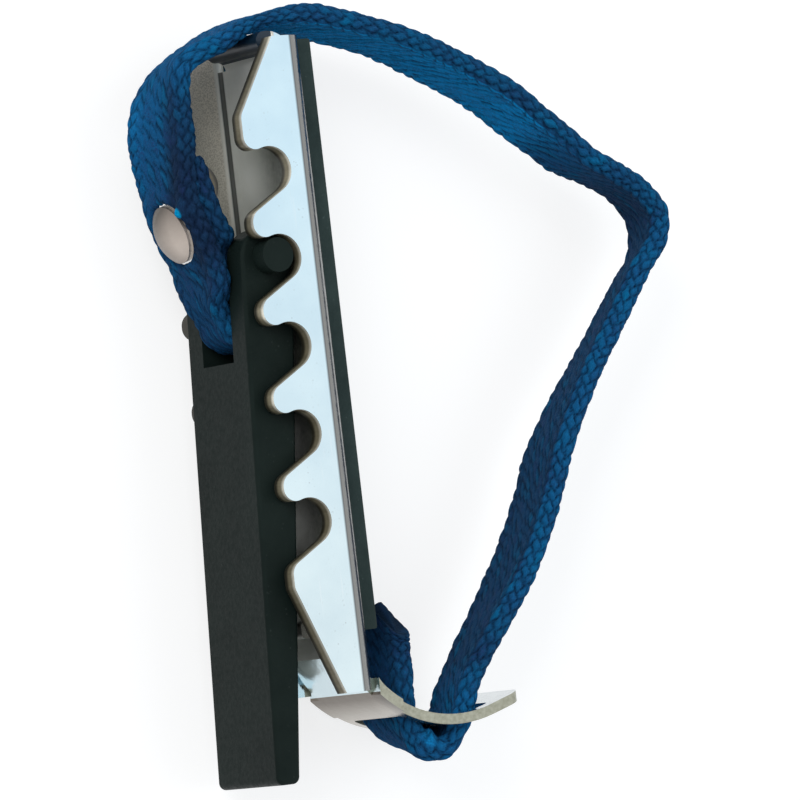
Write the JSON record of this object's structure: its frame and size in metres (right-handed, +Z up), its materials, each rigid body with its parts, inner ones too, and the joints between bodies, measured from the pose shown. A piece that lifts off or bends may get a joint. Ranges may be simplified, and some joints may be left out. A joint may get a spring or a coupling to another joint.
{
  "type": "guitar capo",
  "caption": "Toggle guitar capo: toothed steel channel with rubber pad, black side-pinned lever and woven strap looped through a curved slotted tongue.",
  "frame": {"origin": "on the rubber pad's clamping face, halfway along the bar and halfway across it", "axes": "+X leaves the pad's face towards the instrument's neck, +Y runs along the bar to its lipped end, +Z is up, across the bar, with the capo lying on its side"},
  "size_m": [0.0541, 0.0712, 0.016],
  "materials": {
    "nickel_plate": "bright nickel plate over pressed steel, sheared edges slightly golden",
    "rivet_nickel": "plain nickel plate",
    "pad_rubber": "matt dark grey",
    "lever_plastic": "black, satin",
    "webbing": "woven royal blue"
  },
  "bodies": {
    "bar": {"channel_bar": "nickel_plate", "rubber_pad": "pad_rubber", "strap_over_lip": "webbing", "strap_neck_upper": "webbing", "strap_neck_lower": "webbing", "strap_buckle_wrap": "webbing", "strap_tail": "webbing"},
    "lever": {"toggle_lever": "lever_plastic"},
    "strap_loop": {"strap_lever_loop": "webbing", "rivet_post": "rivet_nickel", "rivet_washer": "rivet_nickel", "rivet_cap": "rivet_nickel"}
  },
  "joints": [
    {"name": "lever_hinge", "type": "hinge", "parent": "bar", "child": "lever", "pos_m": [-0.00746, 0.01029, 0], "axis": [0, 0, 1], "range_deg": [-105, 0], "deforming": ["strap_over_lip"]},
    {"name": "loop_hinge", "type": "hinge", "parent": "lever", "child": "strap_loop", "pos_m": [-0.00813, 0.00529, 0], "axis": [0, 0, 1], "range_deg": [0, 95]}
  ],
  "couplings": [
    {"joint": "loop_hinge", "follows": "lever_hinge", "ratio": -0.85}
  ]
}
